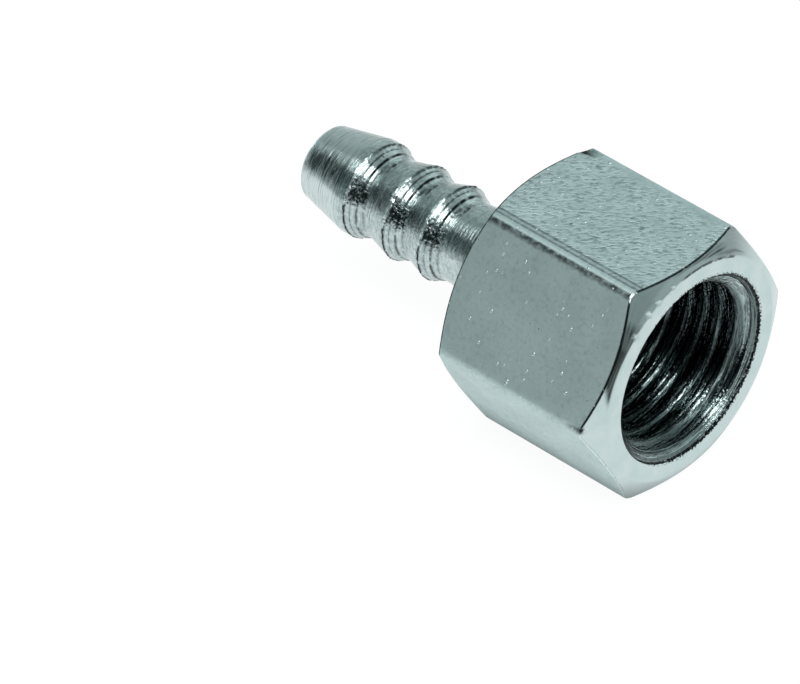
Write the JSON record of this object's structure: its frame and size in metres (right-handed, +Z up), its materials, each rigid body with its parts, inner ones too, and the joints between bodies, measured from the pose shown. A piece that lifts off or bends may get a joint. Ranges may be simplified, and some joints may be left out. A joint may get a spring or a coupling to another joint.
{
  "type": "hose barb tail",
  "caption": "Hexagon fitting turned in one piece, with a female pipe-thread port at one end and a barbed tail for a push-on hose at the other.",
  "frame": {"origin": "centre of the port's front face, on the fitting's own axis", "axes": "+X along the axis and out of the threaded port, -X along the tail; +Z up, square to two flats of the hexagon, so the fitting lies on its lower flat"},
  "size_m": [0.032, 0.0194, 0.017],
  "materials": {
    "plated_metal": "satin"
  },
  "bodies": {
    "root": {"hose_barb_tail": "plated_metal"}
  },
  "joints": []
}
